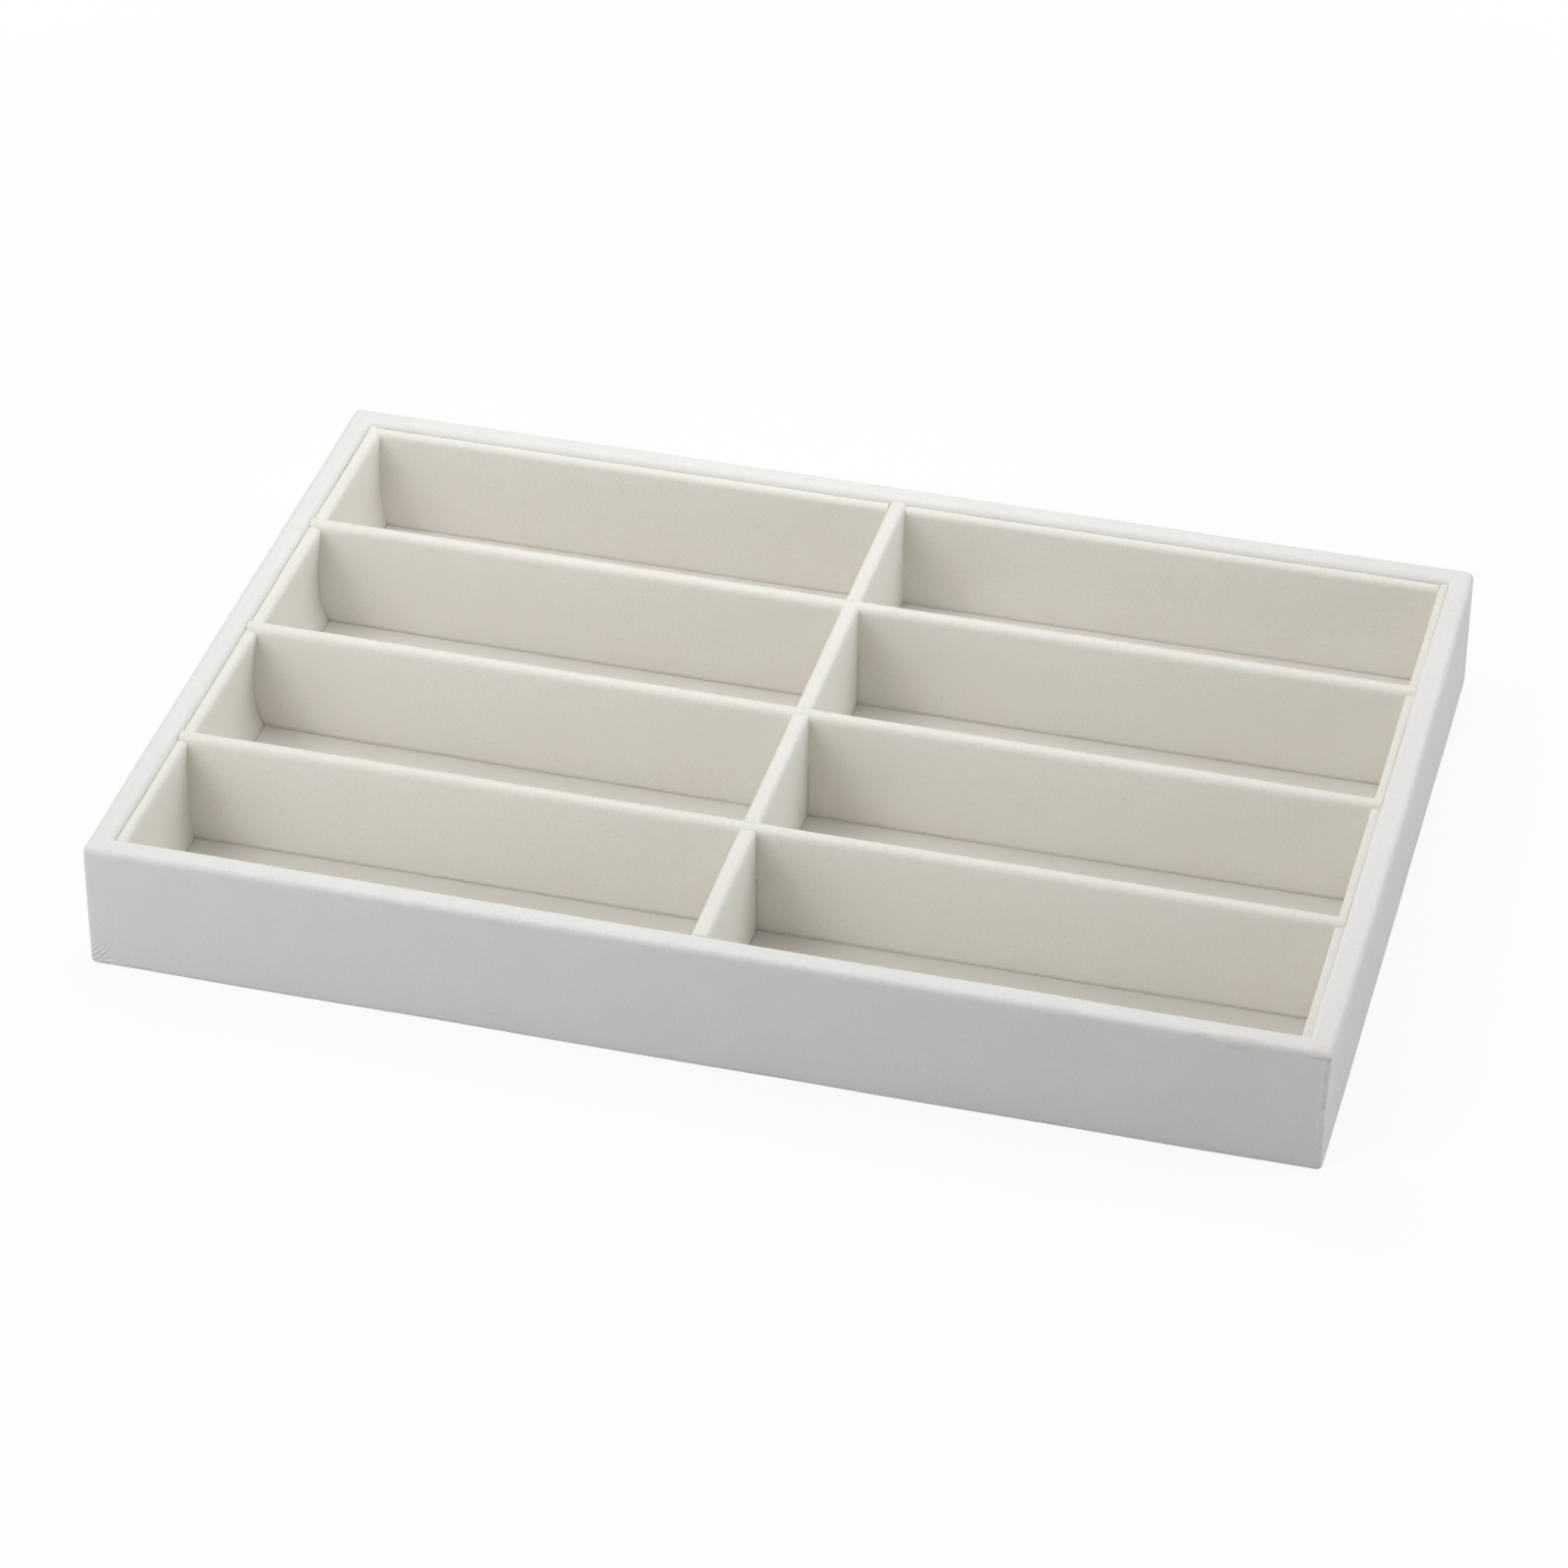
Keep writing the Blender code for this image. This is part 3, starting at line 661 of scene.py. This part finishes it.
def makeLiner(side, number, spec):
    node, card = f"{side}_liner_cover_{number}", f"{side}_liner_card_{number}"
    low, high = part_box(node)
    lengthAxis = 1 if side in ("left", "right") else 0
    across = 1 - lengthAxis
    low[lengthAxis] -= spec["endReach"]
    high[lengthAxis] += spec["endReach"]
    low.z -= spec["standGap"]
    if lengthAxis == 1:
        low.y += askew.get(number - 1, 0) * low.x
        high.y += askew.get(number, 0) * low.x
    elif number == 1:
        low.x -= spec["cornerReach"]
    else:
        high.x += spec["cornerReach"]
    if side in ("left", "front"):
        low[across] -= spec["wallReach"][side]
        wall = low[across]
    else:
        high[across] += spec["wallReach"][side]
        wall = high[across]
    tops = (spec["insideRound"][side], spec["wallRound"][side])
    radii = {"top": tops if side in ("left", "back") else tops[::-1], "end": spec["endRound"]}
    bend = spec["bends"].get(f"{side}{number}") or spec["bends"][side]
    bm = boardShape(low, high, lengthAxis, (), radii, spec["hold"])
    cutAlong(bm, spec["cuts"][lengthAxis])
    bendFace(bm, bend, across, wall, low, high, spec)
    ripple(bm, spec["wave"], number + spec["seeds"][side])
    cover = addCover(f"{side}Liner{number}", bm, spec["cloth"], "tray", node, liningVelour)

    # the card in it is bent with it
    bm = plainBox(*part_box(card))
    cutAlong(bm, spec["cardCuts"])
    bendFace(bm, bend, across, wall, low, high, spec)
    piece = addPiece(f"{side}LinerCard{number}", bm, "tray", card, greyCard)
    broken = piece.modifiers.new("knifeEdge", "BEVEL")
    broken.width = spec["knifeEdge"]
    broken.segments = 1


for side, count in (("left", 4), ("right", 4), ("front", 2), ("back", 2)):
    for number in range(1, count + 1):
        makeLiner(side, number, liner)
print("liners made")

divider = {
    "cloth": 0.8 * millimetre,
    "radii": {"top": (2.4 * millimetre, 2.4 * millimetre), "end": 0.4 * millimetre},
    # the long divider's right and left edge, and its ends
    "longRadii": {"top": (1.5 * millimetre, 2.0 * millimetre), "end": 0.9 * millimetre},
    "hold": 0.5 * millimetre,
    # the ends come up against the rim: the long divider's two, and the others' left and right
    "endReach": {"long": 0.45 * millimetre, "left": 0.65 * millimetre, "right": 1.3 * millimetre},
    "standGap": 0.45 * millimetre,  # the cloth is pressed into the floor pad
    "longShift": 0.25 * millimetre,  # the long divider stands a little to the right of the middle
    # how much of each cover the notches take
    "longNotchShare": 0.036,
    "rowNotchShare": 0.008,
    # how far back the foot of each row divider stands at its left end, middle and right end, in millimetres
    "footBows": {1: (-0.3, 0.0, 0.8), 2: (0.35, -0.7, 0.4), 3: (0.4, 0.3, 1.0)},
    # the long divider's notches, in millimetres: half width and roundness before and behind each row divider
    "crossings": {1: ((2.1, 1.3), (1.1, 0.25)), 2: ((1.7, 0.5), (1.1, 0.25)), 3: ((1.5, 0.3), (1.1, 0.25))},
    "notchClearance": 0.02 * millimetre,
    "rowNotch": {"halfWidth": 2.64 * millimetre, "round": 0.2 * millimetre},
    "longCuts": ((1, 9, 0.03), (2, 4, 0.008)),
    "rowCuts": ((0, 32, 0.03), (2, 4, 0.008)),
    "wave": {"height": 0.16 * millimetre, "length": 28 * millimetre},
    "longSeed": 5.3,
    "rowSeed": 11.7,  # times the row's number
}


def makeLongDivider(spec, rows, low, high, halving):
    low.z -= spec["standGap"]
    low.x += spec["longShift"]
    high.x += spec["longShift"]
    notches = []
    for number, (rowLow, rowHigh) in rows.items():
        middle = (rowLow.y + rowHigh.y) / 2
        (before, roundBefore), (behind, roundBehind) = spec["crossings"][number]
        notches.append({"from": middle - before * millimetre, "to": middle + behind * millimetre,
                        "level": halving - spec["notchClearance"], "openAbove": True,
                        "radii": (roundBefore * millimetre, roundBehind * millimetre)})
    low.y -= spec["endReach"]["long"]
    high.y += spec["endReach"]["long"]
    bm = boardShape(low, high, 1, notches, spec["longRadii"], spec["hold"])
    cutAlong(bm, spec["longCuts"])
    calm = [low.y, high.y] + [(rowLow.y + rowHigh.y) / 2 for rowLow, rowHigh in rows.values()]
    ripple(bm, spec["wave"], spec["longSeed"], 1, calm)
    piece = addCover("centreDivider", bm, spec["cloth"], "centre_divider", "centre_divider_cover",
                     liningVelour)


def makeRowDivider(spec, number, low, high, halving):
    low.z -= spec["standGap"]
    low.x -= spec["endReach"]["left"]
    high.x += spec["endReach"]["right"]
    half = spec["rowNotch"]["halfWidth"]
    crossing = spec["longShift"] - (low.x + high.x) / 2
    notch = {"from": crossing - half, "to": crossing + half, "level": halving + spec["notchClearance"],
             "openAbove": False, "radii": [spec["rowNotch"]["round"]] * 2}
    bm = boardShape(low, high, 0, [notch], spec["radii"], spec["hold"])
    cutAlong(bm, spec["rowCuts"])
    ripple(bm, spec["wave"], spec["rowSeed"] * number, 0, [0, low.x, high.x])
    left, middle, right = [bow * millimetre for bow in spec["footBows"][number]]
    for vert in bm.verts:
        along = vert.co.x / high.x
        foot = 1 - (vert.co.z - low.z) / (high.z - low.z)
        vert.co.y += askew[number] * vert.co.x
        vert.co.y += foot * (middle + (right - left) / 2 * along + ((left + right) / 2 - middle) * along ** 2)
    node = f"row_divider_cover_{number}"
    piece = addCover(f"rowDivider{number}", bm, spec["cloth"], f"row_divider_{number}", node,
                     liningVelour)


def makeDividers(spec):
    rows = {number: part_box(f"row_divider_cover_{number}") for number in (1, 2, 3)}
    low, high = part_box("centre_divider_cover")
    # the notches go half way, measured from the pressed foot
    halving = (high.z - low.z) / 2 + spec["standGap"]
    makeLongDivider(spec, rows, low, high, halving)
    for number, (rowLow, rowHigh) in rows.items():
        makeRowDivider(spec, number, rowLow, rowHigh, halving)


makeDividers(divider)
print("dividers made")

floorPad = {
    "cloth": 0.7 * millimetre,
    "edgeRadius": 0.6 * millimetre,
    "edgeSteps": 3,
    "cuts": ((0, 66, 0.1), (1, 44, 0.1)),
    "wave": {"height": 0.14 * millimetre, "length": 26 * millimetre},
    "seed": 8.8,
}


def makeFloorPad(spec):
    low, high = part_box("floor_cover")
    size, middle = high - low, (low + high) / 2
    bm = plainBox(low, high)
    under = min(bm.faces, key=lambda f: f.normal.z)
    bmesh.ops.delete(bm, geom=[under], context="FACES_ONLY")
    edges = [e for e in bm.edges if max(v.co.z for v in e.verts) > middle.z]
    roundEdges(bm, edges, spec["edgeRadius"], spec["edgeSteps"])
    cutAlong(bm, spec["cuts"])
    ripple(bm, spec["wave"], spec["seed"])
    piece = addCover("floorPad", bm, spec["cloth"], "tray", "floor_cover", liningVelour)


makeFloorPad(floorPad)

underSheet = {
    "cloth": 0.6 * millimetre,
    "segments": (60, 40),
    "wave": {"height": 0.12 * millimetre, "length": 30 * millimetre},
}


def makeUnderSheet(spec):
    low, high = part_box("underside_sheet")
    size = high - low
    across, along = spec["segments"]
    bm = bmesh.new()
    made = bmesh.ops.create_grid(bm, x_segments=across, y_segments=along, size=0.5)["verts"]
    bmesh.ops.scale(bm, vec=(size.x, size.y, 1), verts=made)
    bmesh.ops.translate(bm, vec=(0, 0, low.z), verts=made)
    bmesh.ops.reverse_faces(bm, faces=bm.faces)
    for vert in bm.verts:
        lift = noise.noise(vert.co / spec["wave"]["length"])
        vert.co.z += spec["wave"]["height"] * (1 + lift) / 2
    piece = addPiece("underSheet", bm, "tray", "underside_sheet", underFelt)
    thicken(piece, spec["cloth"])


makeUnderSheet(underSheet)
print("floor and underside made")

# the boards and cards inside are the frame's own
for name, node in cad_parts.items():
    look = greyCard if "_card" in name else fibreboard
    for place in node.material_slots:
        place.material = look

studio = {
    "white": {"Color": linear("ffffff"), "Strength": 1.0},
    "airStrength": 0.2,
    "lights": {
        "nearSoftbox": {"place": (-0.1, 0.14, 0.4), "size": 0.3, "power": 0.51, "color": "ffffff"},
        "overheadSoftbox": {"place": (0.05, 0.1, 0.7), "size": 0.5, "power": 0.93, "color": "ffffff"},
        "rightTopSoftbox": {"place": (0.5, 0.2, 0.5), "size": 0.4, "power": 0.52, "color": "ffffff"},
        "rightSoftbox": {"place": (1.4, 0.3, 0.35), "size": 0.8, "power": 6.2, "color": "f6faff"},
        "lowRightSoftbox": {"place": (0.85, -0.85, 0.14), "size": 0.3, "power": 0.8, "color": "fafcff"},
        "frontLeftSoftbox": {"place": (-0.6, -0.75, 0.95), "size": 0.6, "power": 4.55, "color": "ffffff"},
        "lowFrontSoftbox": {"place": (-0.52, -0.68, 0.26), "size": 0.4, "power": 1.31, "color": "fafcff"},
        "backLeftSoftbox": {"place": (-0.9, 1.2, 1.1), "size": 1.0, "power": 5.0, "color": "ffffff"},
    },
    "paperReach": 4,  # metres from the middle to each edge
    "paperShare": 0.11,  # how much of the white that is seen is lit, and so can lie in shadow
    "paperBounce": "b9b9b7",
    "shadowReach": (0.25, 0.6),  # metres from the middle of the tray over which its shadow fades out
}


def lookedAt(tree):
    # 1 for what the camera sees, also in a mirror or through glass, and 0 for what only lights the tray
    path = addNode(tree, "ShaderNodeLightPath")
    shown = addNode(tree, "ShaderNodeMath", {"operation": "MAXIMUM"},
                    {0: path.outputs["Is Camera Ray"], 1: path.outputs["Is Glossy Ray"]})
    return addNode(tree, "ShaderNodeMath", {"operation": "MAXIMUM"},
                   {0: shown.outputs[0], 1: path.outputs["Is Transmission Ray"]}).outputs[0]


def makeAir(spec):
    # plain white where it is seen, and a weak even light on the tray
    world = bpy.data.worlds.new("studioAir")
    world.use_nodes = True
    bpy.context.scene.world = world
    tree = world.node_tree
    tree.nodes.clear()
    air = addNode(tree, "ShaderNodeBackground", {**spec["white"], "Strength": spec["airStrength"]})
    white = addNode(tree, "ShaderNodeBackground", spec["white"])
    mix = addNode(tree, "ShaderNodeMixShader", {},
                  {0: lookedAt(tree), 1: air.outputs[0], 2: white.outputs[0]})
    addNode(tree, "ShaderNodeOutputWorld", {}, {0: mix.outputs[0]})


def makeSoftbox(name, light):
    data = bpy.data.lights.new(name, "AREA")
    data.energy = light["power"]
    data.color = linear(light["color"])[:3]
    data.size = light["size"]
    lamp = bpy.data.objects.new(name, data)
    lamp.location = light["place"]
    lamp.rotation_euler = (-Vector(light["place"])).to_track_quat("-Z", "Y").to_euler()
    bpy.context.scene.collection.objects.link(lamp)


def whitePaper(name, spec):
    # Matt white background paper: seen, it is nearly white and keeps a faint shadow
    made, tree = emptyMaterial(name)
    bounce = addNode(tree, "ShaderNodeBsdfDiffuse", {"Color": linear(spec["paperBounce"])})
    lit = addNode(tree, "ShaderNodeBsdfDiffuse", {"Color": [spec["paperShare"]] * 3 + [1]})
    glow = addNode(tree, "ShaderNodeEmission", {**spec["white"], "Strength": 1 - spec["paperShare"]})
    seen = addNode(tree, "ShaderNodeAddShader", {}, {0: lit.outputs[0], 1: glow.outputs[0]})
    # away from the tray the paper is plain white
    white = addNode(tree, "ShaderNodeEmission", spec["white"])
    place = addNode(tree, "ShaderNodeTexCoord").outputs["Object"]
    away = addNode(tree, "ShaderNodeVectorMath", {"operation": "LENGTH"}, {0: place})
    fade = addNode(tree, "ShaderNodeMapRange",
                   {"From Min": spec["shadowReach"][0], "From Max": spec["shadowReach"][1]},
                   {"Value": away.outputs["Value"]})
    seen = addNode(tree, "ShaderNodeMixShader", {},
                   {0: fade.outputs["Result"], 1: seen.outputs[0], 2: white.outputs[0]})
    mix = addNode(tree, "ShaderNodeMixShader", {},
                  {0: lookedAt(tree), 1: bounce.outputs[0], 2: seen.outputs[0]})
    addNode(tree, "ShaderNodeOutputMaterial", {}, {0: mix.outputs[0]})
    return made


def makePaper(spec):
    bm = bmesh.new()
    bmesh.ops.create_grid(bm, x_segments=1, y_segments=1, size=spec["paperReach"])
    mesh = bpy.data.meshes.new("paperSweep")
    bm.to_mesh(mesh)
    bm.free()
    mesh.materials.append(whitePaper("whitePaper", spec))
    sweep = bpy.data.objects.new("paperSweep", mesh)
    bpy.context.scene.collection.objects.link(sweep)


makeAir(studio)
for name, light in studio["lights"].items():
    makeSoftbox(name, light)
makePaper(studio)
bpy.context.scene.view_settings.view_transform = "Standard"
print("studio made")
